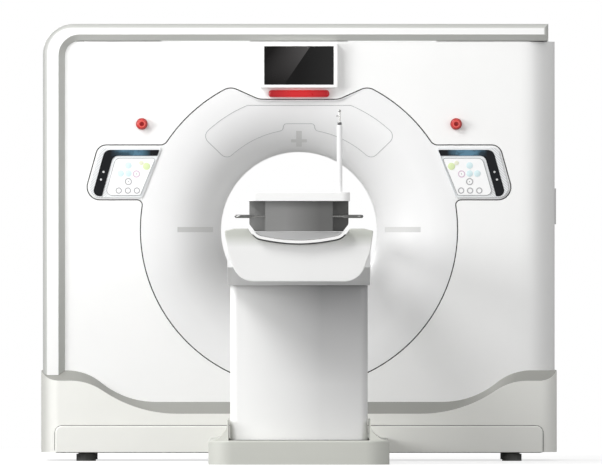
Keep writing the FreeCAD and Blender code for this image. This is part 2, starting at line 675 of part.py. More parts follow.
def make_frame():
    rear = GANTRY_DEPTH - SKIN - SEAT
    starts = (20.0, STATOR_Y - 20, rear - FRAME_BAR)
    rows = [(y, y + FRAME_BAR) for y in starts]
    bars = [box(-FRAME_HALF, FRAME_HALF, y0, y1, FRAME_BOTTOM, FRAME_TOP) for y0, y1 in rows]
    for side in (-1, 1):
        x = side * FOOT_X
        inner, outer = x - FRAME_BAR / 2, x + FRAME_BAR / 2
        bars.append(box(inner, outer, rows[0][0], rows[-1][1], FRAME_BOTTOM, FRAME_TOP))
    save("base_frame", joined(*bars))
    feet = []
    for x in (-FOOT_X, FOOT_X):
        for y in (rows[0][0] + 40, rows[-1][0] + 20):
            pad = rod_z(x, y, 43.5, 0, FLOOR_GAP - 8)
            feet.append(joined(pad, rod_z(x, y, 20, FLOOR_GAP - 8, FRAME_BOTTOM)))
    save("levelling_feet", *feet)
    wide, post = COVER_HALF - SKIN - SEAT, POST_W
    posts = []
    for y in (rows[1][0] + 20, rows[2][0] + 20):
        posts.append(box(wide - post, wide, y, y + post, FRAME_TOP, SHOULDER_Z - SKIN - SEAT))
        roof = GANTRY_TOP - SKIN - SEAT
        x0 = -COVER_HALF + BAND_OUTER_R
        posts.append(box(x0, x0 + post, y, y + post, FRAME_TOP, roof))
    save("cover_posts", *posts)


def make_stator():
    outline = rectangle(-STATOR_HALF, STATOR_HALF, FRAME_TOP, BORE_Z + ROTOR_R + 20)
    plate = front_prism(outline, [0, 0, 260, 260], STATOR_Y, STATOR_Y + STATOR_T)
    seat_r = BEARING_R + BEARING_W
    plate = plate.cut(rod_y(0, BORE_Z, seat_r, STATOR_Y - 1, STATOR_Y + STATOR_T + 1))
    plate = plate.cut(rod_y(PULLEY_X, PULLEY_Z, SHAFT_R + 2, STATOR_Y - 1, STATOR_Y + STATOR_T + 1))
    save("stator_frame", plate)
    save("main_bearing_race", ring_y(BEARING_R + RUN_GAP, seat_r - 0.05, STATOR_Y, STATOR_Y + BEARING_W))
    y0 = STATOR_Y + STATOR_T
    arm = box(-40, 40, y0, y0 + 25, BORE_Z + 440, BORE_Z + seat_r + 60)
    block = box(-40, 40, FLANGE_Y + FLANGE_T + SLIP_RING_T + SEAT, y0, BORE_Z + 440, BORE_Z + 520)
    save("brush_block", joined(arm, block))


def make_rotor():
    back = FLANGE_Y + FLANGE_T
    disc = revolved([(ROTOR_BORE_R, FLANGE_Y - 200), (ROTOR_BORE_R + DRUM_WALL, FLANGE_Y - 200),
                     (ROTOR_BORE_R + DRUM_WALL, FLANGE_Y), (ROTOR_R, FLANGE_Y), (ROTOR_R, back),
                     (BELT_RIM_R, back), (BELT_RIM_R, back + BELT_W + 6),
                     (BELT_RIM_R - DRUM_WALL, back + BELT_W + 6), (BELT_RIM_R - DRUM_WALL, back),
                     (BEARING_R, back), (BEARING_R, STATOR_Y + BEARING_W),
                     (BEARING_R - DRUM_WALL, STATOR_Y + BEARING_W), (BEARING_R - DRUM_WALL, back),
                     (ROTOR_BORE_R, back)])
    save("rotor_drum", disc)
    save("slip_ring", ring_y(400, 570, back, back + SLIP_RING_T))
    save("xray_tube", rod_y(0, BORE_Z + 640, 80, FLANGE_Y - 190, FLANGE_Y))
    save("beam_collimator", box(-90, 90, FLANGE_Y - 100, FLANGE_Y, BORE_Z + 440, BORE_Z + 550))
    arc = ring_y(560, 660, FLANGE_Y - 110, FLANGE_Y)
    reach = 700.0
    spread = reach * math.tan(math.radians(32))
    wedge = front_prism([(0, BORE_Z), (spread, BORE_Z - reach), (-spread, BORE_Z - reach)], 0,
                        FLANGE_Y - 111, FLANGE_Y + 1)
    save("detector_arc", arc.common(wedge))
    save("high_voltage_tank", box(450, 680, FLANGE_Y - 170, FLANGE_Y, BORE_Z - 130, BORE_Z + 130))
    save("rotor_counterweight", box(-700, -480, FLANGE_Y - 100, FLANGE_Y, BORE_Z - 110, BORE_Z + 110))


def belt_loop(grow, y0, y1):
    """Region inside a belt round the rotor's rim and the motor pulley."""
    big, small = BELT_RIM_R + grow, PULLEY_R + grow
    lean = math.acos((big - small) / PULLEY_REACH)
    ends = []
    for turn in (lean, -lean):
        angle = PULLEY_ANGLE + turn
        reach = (math.cos(angle), math.sin(angle))
        ends.append((V(big * reach[0], y0, BORE_Z + big * reach[1]),
                     V(PULLEY_X + small * reach[0], y0, PULLEY_Z + small * reach[1])))
    far = V(-big * math.cos(PULLEY_ANGLE), y0, BORE_Z - big * math.sin(PULLEY_ANGLE))
    near = V(PULLEY_X + small * math.cos(PULLEY_ANGLE), y0, PULLEY_Z + small * math.sin(PULLEY_ANGLE))
    (big_a, small_a), (big_b, small_b) = ends
    wire = Part.Wire([Part.Arc(big_b, far, big_a).toShape(), Part.makeLine(big_a, small_a),
                      Part.Arc(small_a, near, small_b).toShape(), Part.makeLine(small_b, big_b)])
    return Part.Face(wire).extrude(V(0, y1 - y0, 0))


def make_drive():
    shaft_back = STATOR_Y + STATOR_T + 60
    pulley = joined(rod_y(PULLEY_X, PULLEY_Z, PULLEY_R, BELT_Y - 1, BELT_Y + BELT_W + 1),
                    rod_y(PULLEY_X, PULLEY_Z, SHAFT_R, BELT_Y, shaft_back))
    save("motor_pulley", pulley)
    y0 = STATOR_Y + STATOR_T
    motor = rod_y(PULLEY_X, PULLEY_Z, 75, y0, y0 + 200)
    motor = motor.cut(rod_y(PULLEY_X, PULLEY_Z, SHAFT_R + RUN_GAP, y0 - 1, shaft_back + 1))
    save("drive_motor", motor)
    belt = belt_loop(SEAT + BELT_T, BELT_Y, BELT_Y + BELT_W)
    save("drive_belt", belt.cut(belt_loop(SEAT, BELT_Y - 1, BELT_Y + BELT_W + 1)))


def make_fan():
    x, y, half, hub_r = FAN_X, FAN_Y, FAN_HALF, FAN_HUB_R
    top = GANTRY_TOP - SKIN - SEAT
    bottom = top - 50.0
    frame = box(x - half, x + half, y - half, y + half, bottom, top)
    frame = frame.cut(rod_z(x, y, 92, bottom - 1, top + 1))
    arms = [box(x - 99, x + 99, y - 6, y + 6, bottom, bottom + 6),
            box(x - 6, x + 6, y - 99, y + 99, bottom, bottom + 6), rod_z(x, y, hub_r, bottom, bottom + 6)]
    save("fan_frame", joined(frame, *arms))
    low = bottom + 6 + SEAT
    blades = [rod_z(x, y, hub_r, low, low + 34)]
    for turn in range(7):
        blade = box(x + hub_r - 4, x + 88, y - 1.5, y + 1.5, low + 2, low + 32)
        blade.rotate(V(x, y, low + 17), V(1, 0, 0), 38)
        blade.rotate(V(x, y, 0), V(0, 0, 1), turn * 360 / 7)
        blades.append(blade.common(tube_z(x, y, 1, 88, low + 1, low + 33)))
    save("fan_rotor", joined(*blades))


# ---- Table ----------------------------------------------------------------

def make_table_base():
    front, back = TABLE_BASE_FRONT, -BASE_PROUD - KICK_PROUD - SEAT
    wall = SKIN

    def plan(inset):
        half = TABLE_HALF - inset
        points = [(-half, front + inset), (half, front + inset), (half, back), (-half, back)]
        return points, [TABLE_CORNER_R - inset, TABLE_CORNER_R - inset, 0, 0]

    cover = plan_prism(*plan(0), 0, TABLE_BASE_TOP)
    rim = [e for e in cover.Edges if all(abs(v.Z - TABLE_BASE_TOP) < 0.01 for v in e.Vertexes)
           and e.Vertexes[0].Y + e.Vertexes[-1].Y < 2 * back - 1]
    cover = cover.makeFillet(8.0, rim)
    sleeve = PEDESTAL_HALF + PEDESTAL_GAP
    fin_foot = TABLE_HALF - 10
    tip = sleeve + 6
    curve = Part.Arc(V(fin_foot, front, TABLE_BASE_TOP), V(sleeve + 26, front, TABLE_BASE_TOP + 25),
                     V(tip, front, FIN_TOP)).toShape()
    corners = [V(tip, front, FIN_TOP), V(sleeve, front, FIN_TOP), V(sleeve, front, TABLE_BASE_TOP - 20),
               V(fin_foot, front, TABLE_BASE_TOP - 20), V(fin_foot, front, TABLE_BASE_TOP)]
    sides = [Part.makeLine(a, b) for a, b in zip(corners, corners[1:])]
    fin = Part.Face(Part.Wire([curve] + sides)).extrude(V(0, back - front, 0))
    run = [(PEDESTAL_FRONT - 70, TABLE_BASE_TOP - 30), (PEDESTAL_REAR + 70, TABLE_BASE_TOP - 30),
           (PEDESTAL_REAR + 10, FIN_TOP + 30), (PEDESTAL_FRONT - 10, FIN_TOP + 30)]
    fin = fin.common(side_prism(run, [0, 0, 30, 30], 0, 500))
    cover = joined(cover, fin, mirrored(fin))
    cover = cover.cut(plan_prism(*plan(wall), -1, TABLE_BASE_TOP - wall))
    gap = PEDESTAL_GAP
    well = plan_prism([(-sleeve, PEDESTAL_FRONT - gap), (sleeve, PEDESTAL_FRONT - gap),
                       (sleeve, PEDESTAL_REAR + gap), (-sleeve, PEDESTAL_REAR + gap)], 36, -1, 400)
    save("table_base_cover", cover.cut(well))
    half, inset = TABLE_HALF - wall - SEAT, wall + SEAT
    plate = plan_prism([(-half, front + inset), (half, front + inset), (half, back), (-half, back)],
                       [TABLE_CORNER_R - inset, TABLE_CORNER_R - inset, 0, 0], 0, BASE_PLATE_T)
    for x in (-ANCHOR_X, ANCHOR_X):
        for y in ANCHOR_Y:
            plate = plate.cut(rod_z(x, y, ANCHOR_R, -1, BASE_PLATE_T + 1))
    save("table_base_plate", plate)


def square_tube(half, wall, z0, z1):
    def square(h):
        return [(-h, LIFT_Y - h), (h, LIFT_Y - h), (h, LIFT_Y + h), (-h, LIFT_Y + h)]
    outer = plan_prism(square(half), 12, z0, z1)
    return outer.cut(plan_prism(square(half - wall), 6, z0 - 1, z1 + 1))


def make_lift():
    save("lift_column_outer", square_tube(COLUMN_HALF, COLUMN_WALL, BASE_PLATE_T, COLUMN_TOP))
    inner_half = COLUMN_HALF - COLUMN_WALL - SEAT
    save("lift_column_inner", square_tube(inner_half, COLUMN_WALL, 250, CEILING_Z))
    wall, bottom = PEDESTAL_WALL, TABLE_BASE_TOP + 2

    def plan(inset):
        half = PEDESTAL_HALF - inset
        return [(-half, PEDESTAL_FRONT + inset), (half, PEDESTAL_FRONT + inset),
                (half, PEDESTAL_REAR - inset), (-half, PEDESTAL_REAR - inset)]

    shell = plan_prism(plan(0), 32, bottom, PEDESTAL_TOP)
    shell = shell.cut(plan_prism(plan(wall), 28, bottom - 1, PEDESTAL_TOP - wall))
    hole = inner_half + SEAT
    shell = shell.cut(box(-hole, hole, LIFT_Y - hole, LIFT_Y + hole, PEDESTAL_TOP - 10, PEDESTAL_TOP + 1))
    save("pedestal_cover", shell)


def trough(gap, y0, y1, top=SADDLE_TOP + 40):
    """Space over the saddle curve, offset upwards and inwards by gap."""
    lean = (SADDLE_HALF - SADDLE_BEND_HALF) / (SADDLE_TOP - SADDLE_BEND_Z)
    wide = SADDLE_HALF - gap * math.hypot(1, lean) + lean * (top - SADDLE_TOP)
    bend = SADDLE_BEND_HALF - gap * (math.hypot(1, lean) - lean)
    level = SADDLE_BEND_Z + gap
    points = [(-wide, top), (-bend, level), (0, SADDLE_BOTTOM + gap), (bend, level), (wide, top)]
    bend_r, floor_r = SADDLE_BEND_R - gap, SADDLE_FLOOR_R - gap
    return front_prism(points, [0, bend_r, floor_r, bend_r, 0], y0, y1)


def make_table_head():
    def profile(inset):
        back = HEAD_REAR - inset
        front = NOSE_REAR + SEAT + inset
        return [(front, HEAD_TOP), (front, 862 + inset),
                (PEDESTAL_FRONT - 40 + inset, HEAD_BOTTOM + inset),
                (PEDESTAL_REAR + 40 - inset, HEAD_BOTTOM + inset), (back, 890 + inset), (back, HEAD_TOP)]

    outer = side_prism(profile(0), [0, 0, 60, 60, 20, 0], -HEAD_HALF, HEAD_HALF)
    hem = [e for e in outer.Edges if len(e.Vertexes) == 2
           and all(abs(v.Z - HEAD_BOTTOM) < 0.01 for v in e.Vertexes)
           and abs(e.Vertexes[0].X - e.Vertexes[1].X) < 0.01]
    outer = outer.makeFillet(SKIN - 2, hem)
    shell = outer.cut(side_prism(profile(SKIN), [0, 0, 55, 55, 15, 0], -HEAD_HALF + SKIN, HEAD_HALF - SKIN))
    ceiling = box(-HEAD_HALF + SKIN, HEAD_HALF - SKIN, NOSE_REAR + SKIN, HEAD_REAR - SKIN, CEILING_Z,
                  CEILING_Z + SKIN)
    shell = joined(shell, ceiling)
    mouth = HEAD_HALF - SKIN
    shell = shell.cut(box(-mouth, mouth, PEDESTAL_FRONT - 8, PEDESTAL_REAR + 8, 700, CEILING_Z - 20))
    shell = shell.cut(trough(CRADLE_GAP - RAIL_GAP, NOSE_REAR - 1, HEAD_REAR + 1))
    save("table_head_cover", shell)
    y0, y1 = NOSE_REAR + SKIN + 2 * SEAT, HEAD_REAR - SKIN - SEAT
    half = HEAD_HALF - SKIN - SEAT
    rail = box(-half, half, y0, y1, CEILING_Z + SKIN, HEAD_TOP)
    rail = rail.cut(trough(CRADLE_GAP - RAIL_GAP, y0 - 1, y1 + 1))
    for side in (-1, 1):
        a, b = sorted((side * 236.0, side * (half - 10)))
        rail = rail.cut(box(a, b, y0 + 10, y1 - 10, CEILING_Z, HEAD_TOP - 10))
    save("cradle_support", rail)


def make_nose():
    """Rounded cover on the foot end of the table head, with the saddle cut in it."""
    half = [(NOSE_FLOOR_HALF, NOSE_FLOOR_Z), (HEAD_HALF, NOSE_WAIST_Z),
            (NOSE_HALF, NOSE_EDGE_Z), (SADDLE_HALF, SADDLE_TOP + 15)]
    outline = half + [(-x, z) for x, z in reversed(half)]
    radii = [92, 160, 6, 0, 0, 6, 160, 92]
    nose = front_prism(outline, radii, NOSE_FRONT, NOSE_REAR)
    nose = nose.cut(box(-400, 400, NOSE_FRONT - 1, NOSE_REAR + 1, SADDLE_TOP, 1100))
    nose = nose.cut(trough(0, NOSE_FRONT - 1, NOSE_REAR + 1))
    rim = [e for e in nose.Edges if on_front(e, NOSE_FRONT)]
    nose = nose.makeFillet(5.0, rim)
    save("table_nose_cover", nose)


def make_cradle():
    y0, y1 = CRADLE_FRONT, CRADLE_FRONT + CRADLE_LENGTH
    above = box(-400, 400, y0 - 1, y1 + 1, SADDLE_TOP - 5, 1200)
    outer = trough(CRADLE_GAP, y0, y1).cut(above)
    shell = outer.cut(trough(CRADLE_GAP + CRADLE_WALL, y0 - 1, y1 + 1))
    save("cradle", shell)
    pad = trough(CRADLE_GAP + CRADLE_WALL + SEAT, y0 + 4, y1 - 4)
    save("cradle_pad", pad.cut(box(-400, 400, y0 - 1, y1 + 1, BLOCK_FLOOR, 1200)))


def make_end_unit():
    """Block, tray, handles and pole at the foot end of the cradle."""
    face = CRADLE_FRONT + 40
    wide_y, back = face + 70, face + 230
    centre = box(-BLOCK_HALF, BLOCK_HALF, face, wide_y, BLOCK_FLOOR, TRAY_BOTTOM)
    wide_half = SADDLE_HALF - 6.0
    foot_half = wide_half - 24.0
    wide = front_prism([(-foot_half, BLOCK_FLOOR), (foot_half, BLOCK_FLOOR), (wide_half, 1050),
                        (wide_half, TRAY_BOTTOM), (-wide_half, TRAY_BOTTOM), (-wide_half, 1050)],
                       [0, 0, 20, 0, 0, 20], wide_y, back)
    save("cradle_end_block", joined(centre, wide))
    tray_y = face - 20
    tray = plan_prism([(-TRAY_HALF, tray_y), (TRAY_HALF, tray_y), (TRAY_HALF, tray_y + TRAY_LENGTH),
                       (-TRAY_HALF, tray_y + TRAY_LENGTH)], 34, TRAY_BOTTOM, TRAY_TOP)
    rim = [e for e in tray.Edges if all(abs(v.Z - TRAY_TOP) < 0.01 for v in e.Vertexes)]
    save("cradle_tray", tray.makeFillet(4.0, rim))
    save("cradle_handles", handle(-1, face + 22, wide_half), handle(1, face + 22, wide_half))
    pole_y = tray_y + 60
    bore = POLE_ROD_D / 2 + RUN_GAP
    tube = tube_z(POLE_X, pole_y, bore, POLE_TUBE_D / 2, TRAY_TOP, POLE_TUBE_TOP)
    tip = tube_z(POLE_X, pole_y, bore, POLE_TUBE_D / 2 - 3, POLE_TUBE_TOP, POLE_TUBE_TOP + 11)
    save("pole_tube", joined(tube, tip))
    rod = rod_z(POLE_X, pole_y, POLE_ROD_D / 2, TRAY_TOP + 10, POLE_TOP - 6)
    tip = Part.makeSphere(POLE_ROD_D / 2 + 2, V(POLE_X, pole_y, POLE_TOP - 6))
    hook = box(POLE_X - 14, POLE_X, pole_y - 2, pole_y + 2, POLE_TOP - 30, POLE_TOP - 26)
    save("pole_rod", joined(rod, tip, hook))


def handle(side, y0, rear):
    """Bent rod out of the block's side, along, and back behind the wide part."""
    reach, bend, r = HANDLE_REACH - HANDLE_D / 2, 20.0, HANDLE_D / 2
    y1 = y0 + HANDLE_LENGTH
    turn = bend * (1 - math.sqrt(0.5))

    def at(x, y):
        return V(side * x, y, HANDLE_Z)

    front, back = at(BLOCK_HALF, y0), at(rear, y1)
    edges = [Part.makeLine(front, at(reach - bend, y0)),
             Part.Arc(at(reach - bend, y0), at(reach - turn, y0 + turn), at(reach, y0 + bend)).toShape(),
             Part.makeLine(at(reach, y0 + bend), at(reach, y1 - bend)),
             Part.Arc(at(reach, y1 - bend), at(reach - turn, y1 - turn), at(reach - bend, y1)).toShape(),
             Part.makeLine(at(reach - bend, y1), back)]
    ring = Part.Wire([Part.makeCircle(r, front, V(side, 0, 0))])
    return Part.Wire(edges).makePipeShell([ring], True, True)


def main():
    os.makedirs("parts", exist_ok=True)
    make_fascia()
    make_front_cover()
    make_right_side_cover()
    make_roof_wrap()
    make_rear_cover()
    make_tunnel()
    make_base_covers()
    make_monitor()
    make_estops()
    make_panels()
    make_frame()
    make_stator()
    make_rotor()
    make_drive()
    make_fan()
    make_table_base()
    make_lift()
    make_table_head()
    make_nose()
    make_cradle()
    make_end_unit()


main()
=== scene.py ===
import bmesh
import bpy
import math
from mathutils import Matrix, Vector


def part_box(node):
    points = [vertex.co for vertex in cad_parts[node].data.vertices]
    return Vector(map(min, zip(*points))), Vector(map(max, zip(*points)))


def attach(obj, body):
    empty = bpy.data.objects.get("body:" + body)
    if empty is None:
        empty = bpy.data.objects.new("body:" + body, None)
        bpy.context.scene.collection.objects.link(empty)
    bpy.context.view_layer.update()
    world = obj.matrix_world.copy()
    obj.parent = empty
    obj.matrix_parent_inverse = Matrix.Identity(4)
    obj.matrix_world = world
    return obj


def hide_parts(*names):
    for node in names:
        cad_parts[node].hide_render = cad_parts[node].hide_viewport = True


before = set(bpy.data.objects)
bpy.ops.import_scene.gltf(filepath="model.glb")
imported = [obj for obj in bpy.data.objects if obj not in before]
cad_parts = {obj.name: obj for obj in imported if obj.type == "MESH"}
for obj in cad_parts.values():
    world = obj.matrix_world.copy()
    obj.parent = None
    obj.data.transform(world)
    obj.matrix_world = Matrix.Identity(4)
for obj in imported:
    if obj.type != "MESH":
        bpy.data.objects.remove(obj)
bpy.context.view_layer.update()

# ---- Driving places, from the frame (metres) --------------------------------
FACE_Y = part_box("front_cover")[0].y           # plane of the gantry's front cover
REAR_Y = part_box("rear_cover")[1].y
TUNNEL_LOW, TUNNEL_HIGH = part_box("bore_tunnels")
BORE_Z = (TUNNEL_LOW.z + TUNNEL_HIGH.z) / 2
ROOF_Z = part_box("roof_wrap_cover")[1].z
SIDE_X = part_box("right_side_cover")[1].x

scene = bpy.context.scene
scene.view_settings.view_transform = "Standard"


# ---- Materials: building blocks ---------------------------------------------
def linear(srgb):
    """Scene-linear colour from sRGB values of 0 to 255."""
    out = []
    for value in srgb:
        c = value / 255
        out.append(c / 12.92 if c <= 0.04045 else ((c + 0.055) / 1.055) ** 2.4)
    return (*out, 1.0)


def tint(colour, factor):
    return tuple(min(1.0, c * factor) for c in colour[:3]) + (1.0,)


class Material:
    """Principled material with procedural colour, roughness and bump."""

    def __init__(self, name):
        self.material = bpy.data.materials.new(name)
        self.material.use_nodes = True
        self.nodes = self.material.node_tree.nodes
        self.links = self.material.node_tree.links
        self.shader = self.nodes["Principled BSDF"]
        self.place = self.add("ShaderNodeTexCoord")

    def add(self, kind, **settings):
        node = self.nodes.new(kind)
        for key, value in settings.items():
            setattr(node, key, value)
        return node

    def link(self, source, target):
        self.links.new(source, target)

    def noise(self, scale, detail=3.0):
        node = self.add("ShaderNodeTexNoise")
        node.inputs["Scale"].default_value = scale
        node.inputs["Detail"].default_value = detail
        self.link(self.place.outputs["Object"], node.inputs["Vector"])
        return node.outputs["Fac"]

    def axis(self, output, letter):
        """One coordinate of the object's own position ("Object") or normal ("Normal")."""
        node = self.add("ShaderNodeSeparateXYZ")
        self.link(self.place.outputs[output], node.inputs["Vector"])
        return node.outputs[letter]

    def ramp(self, source, low, high, colour_low, colour_high):
        node = self.add("ShaderNodeValToRGB")
        node.color_ramp.elements[0].position = low
        node.color_ramp.elements[1].position = high
        node.color_ramp.elements[0].color = colour_low
        node.color_ramp.elements[1].color = colour_high
        self.link(source, node.inputs["Fac"])
        return node.outputs["Color"]

    def span(self, source, from_low, from_high, to_low=0.0, to_high=1.0):
        node = self.add("ShaderNodeMapRange")
        for key, value in (("From Min", from_low), ("From Max", from_high),
                           ("To Min", to_low), ("To Max", to_high)):
            node.inputs[key].default_value = value
        self.link(source, node.inputs["Value"])
        return node.outputs["Result"]

    def mix(self, factor, a, b):
        node = self.add("ShaderNodeMix", data_type="RGBA")
        self.link(factor, node.inputs[0])
        for source, target in ((a, node.inputs[6]), (b, node.inputs[7])):
            if isinstance(source, tuple):
                target.default_value = source
            else:
                self.link(source, target)
        return node.outputs[2]

    def maths(self, operation, a, b):
        node = self.add("ShaderNodeMath", operation=operation)
        for source, target in ((a, node.inputs[0]), (b, node.inputs[1])):
            if isinstance(source, (int, float)):
                target.default_value = source
            else:
                self.link(source, target)
        return node.outputs[0]

    def bump(self, height, distance, strength=1.0):
        node = self.add("ShaderNodeBump")
        node.inputs["Distance"].default_value = distance
        node.inputs["Strength"].default_value = strength
        self.link(height, node.inputs["Height"])
        self.link(node.outputs["Normal"], self.shader.inputs["Normal"])

    def set(self, **values):
        for key, value in values.items():
            self.shader.inputs[key.replace("_", " ")].default_value = value

    def surface(self, srgb, roughness, vary=0.015, grain=700.0, depth=0.00003, drift=2.5):
        """Soft tone drift, uneven gloss and a fine moulded grain."""
        colour = linear(srgb)
        base = self.ramp(self.noise(drift, 4.0), 0.3, 0.7, tint(colour, 1 - vary), tint(colour, 1 + vary))
        self.link(base, self.shader.inputs["Base Color"])
        self.link(self.span(self.noise(drift * 9), 0.3, 0.7, roughness * 0.88, roughness * 1.12),
                  self.shader.inputs["Roughness"])
        self.bump(self.noise(grain, 2.0), depth, 0.5)
        return base


def moulded(name, srgb, roughness=0.4, coat=0.0, **more):
    m = Material(name)
    m.surface(srgb, roughness, **more)
    if coat:
        m.set(Coat_Weight=coat, Coat_Roughness=0.1)
    return m.material


def metal(name, srgb, roughness=0.3, grain=400.0, depth=0.00001):
    m = Material(name)
    m.surface(srgb, roughness, 0.04, grain, depth, 12.0)
    m.set(Metallic=1.0)
    return m.material


def two_tone_and_painted_shade(name, srgb, second_srgb, output, letter, low, high, roughness=0.4):
    """Moulded plastic that passes into a second tone as one coordinate goes from low to high. On the nose
    and the end block the second tone is painted shade.
    """
    m = Material(name)
    base = m.surface(srgb, roughness)
    mask = m.span(m.axis(output, letter), low, high)
    m.link(m.mix(mask, base, linear(second_srgb)), m.shader.inputs["Base Color"])
    return m.material


def paint(material, *nodes):
    """Gives CAD nodes their finished material."""
    for node in nodes:
        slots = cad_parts[node].data.materials
        slots.clear()
        slots.append(material)


WHITE = (247, 247, 246)
WARM = (240, 240, 235)
SEAM_DARK = (34, 33, 33)


def base_cover_material():
    """Warm white cover with painted shade: grey on its bevelled top edge and on its left flank."""
    m = Material("base_warm")
    base = m.surface(WARM, 0.46)
    # Painted shade: faces that turn upwards above the kick panel, the bevel among them, are grey.
    rising = m.span(m.axis("Normal", "Z"), 0.35, 0.55)
    bevel_foot = 0.185
    above_kick = m.span(m.axis("Object", "Z"), bevel_foot, bevel_foot + 0.020)
    bevel_painted_shade = m.mix(m.maths("MULTIPLY", rising, above_kick), base, linear((160, 160, 155)))
    # Painted shade on faces turned to the left.
    left_flank_painted_shade = m.span(m.axis("Normal", "X"), -0.2, -0.8)
    m.link(m.mix(left_flank_painted_shade, bevel_painted_shade, linear((196, 196, 191))), m.shader.inputs["Base Color"])
    return m.material


def screen_material():
    """Dark glass with one painted slanting reflection, brightest beside its edge and towards the top, and
    past that edge a painted sheen that grows lighter to the right.
    """
    m = Material("screen_glass")
    edge_x, edge_z, lean = -0.0535, 1.696, 0.683
    glass_foot, glass_top, reach = 1.69, 1.85, 0.16
    m.surface((8, 8, 8), 0.25)
    x, z = m.axis("Object", "X"), m.axis("Object", "Z")
    slant = m.maths("MULTIPLY", m.maths("SUBTRACT", z, edge_z), lean)
    beyond = m.maths("SUBTRACT", m.maths("SUBTRACT", x, edge_x), slant)
    near = m.span(beyond, -reach, 0.0)
    high = m.span(z, glass_foot, glass_top, 0.1, 1.0)
    # Painted reflection, brightest at the slanting edge and towards the top.
    painted_reflection = m.mix(m.maths("MULTIPLY", near, high), linear((14, 11, 11)), linear((92, 90, 90)))
    # Painted sheen beyond the edge, lighter to the right.
    painted_sheen = m.mix(m.span(x, 0.0, reach), linear((18, 17, 17)), linear((42, 42, 42)))
    side = m.span(beyond, -0.001, 0.001)
    m.link(m.mix(side, painted_reflection, painted_sheen), m.shader.inputs["Emission Color"])
    m.set(Emission_Strength=0.75, Specular_IOR_Level=0.2)
    return m.material


def lamp_material():
    """Lit red lens, brightest in the middle and dark at its ends."""
    m = Material("lamp_red")
    m.surface((120, 10, 14), 0.3)
    bright_half, dim_half = 0.03, 0.12
    off_centre = m.maths("ABSOLUTE", m.axis("Object", "X"), 0.0)
    glow = m.mix(m.span(off_centre, bright_half, dim_half), linear((205, 30, 36)), linear((150, 4, 18)))
    m.link(glow, m.shader.inputs["Emission Color"])
    m.set(Emission_Strength=0.75, Coat_Weight=0.3)
    return m.material


def display_material():
    """Black strip whose top arm carries a dim blue read-out."""
    m = Material("display_black")
    m.surface((10, 10, 12), 0.35)
    out = m.maths("ABSOLUTE", m.axis("Object", "X"), 0.0)
    arm_foot = 1.356
    arm = m.span(m.axis("Object", "Z"), arm_foot, arm_foot + 0.008)
    lit = m.maths("MULTIPLY", m.span(out, 0.66, 0.71), m.span(out, 0.84, 0.78))
    patch = m.span(m.noise(28.0, 2.0), 0.42, 0.60, 0.35, 1.0)
    level = m.maths("MULTIPLY", m.maths("MULTIPLY", arm, lit), patch)
    m.link(m.mix(level, linear((8, 10, 14)), linear((88, 128, 150))), m.shader.inputs["Emission Color"])
    m.set(Emission_Strength=1.0, Specular_IOR_Level=0.3)
    return m.material


def bezel_material():
    """Light silver with a fine slanting hatch down the outer side."""
    m = Material("bezel_silver")
    base = m.surface((235, 237, 238), 0.34)
    x, z = m.axis("Object", "X"), m.axis("Object", "Z")
    out = m.maths("ABSOLUTE", x, 0.0)
    hatch_lean, hatch_rate, hatch_from = 0.9, 560.0, 0.845
    phase = m.maths("MULTIPLY", m.maths("ADD", m.maths("MULTIPLY", out, hatch_lean), z), hatch_rate)
    stripe = m.span(m.maths("SINE", phase, 0.0), -0.4, 0.6)
    level = m.maths("MULTIPLY", stripe, m.span(out, hatch_from, hatch_from + 0.020))
    m.link(m.mix(level, base, linear((206, 207, 208))), m.shader.inputs["Base Color"])
    return m.material


def wrap_material():
    """White front band with painted shade: grey on its chamfers and on every face turned from the front,
    greyest on the left flank.
    """
    m = Material("wrap_white")
    # The grey base colour is painted shade; faces that look straight to the front turn white.
    base = m.surface((196, 197, 193), 0.40)
    band = m.mix(m.span(m.axis("Normal", "Y"), -0.93, -0.99), base, linear(WHITE))
    # Painted shade on faces turned to the left.
    left_flank_painted_shade = m.span(m.axis("Normal", "X"), -0.12, -0.4)
    m.link(m.mix(left_flank_painted_shade, band, linear((172, 173, 170))), m.shader.inputs["Base Color"])
    return m.material


def pedestal_material():
    """White column cover with a painted shadow of the head: greyer towards its right side and towards its
    top under the head.
    """
    m = Material("pedestal_white")
    base = m.surface(WHITE, 0.42)
    # Painted shadow, deepest at the top right.
    across = m.span(m.axis("Object", "X"), -0.24, 0.10)
    upward = m.span(m.axis("Object", "Z"), 0.35, 0.79, 0.42, 1.0)
    m.link(m.mix(m.maths("MULTIPLY", across, upward), base, linear((160, 160, 161))),
           m.shader.inputs["Base Color"])
    return m.material


def fascia_material():
    """White bell with painted shade that greys it a little towards the bore."""
    m = Material("fascia_white")
    base = m.surface((240, 240, 240), 0.42)
    x, z = m.axis("Object", "X"), m.maths("SUBTRACT", m.axis("Object", "Z"), BORE_Z)
    squared = m.maths("ADD", m.maths("MULTIPLY", x, x), m.maths("MULTIPLY", z, z))
    outer_radius, inner_radius = 0.58, 0.36
    # Painted shade, deepening towards the bore.
    inwards = m.span(m.maths("SQRT", squared, 0.0), outer_radius, inner_radius)
    m.link(m.mix(inwards, base, linear((221, 221, 221))), m.shader.inputs["Base Color"])
    return m.material


cover_white = moulded("cover_white", WHITE, 0.42)
seam_dark = moulded("seam_dark", SEAM_DARK, 0.6)
seam_grey = moulded("seam_grey", (168, 170, 171), 0.6)
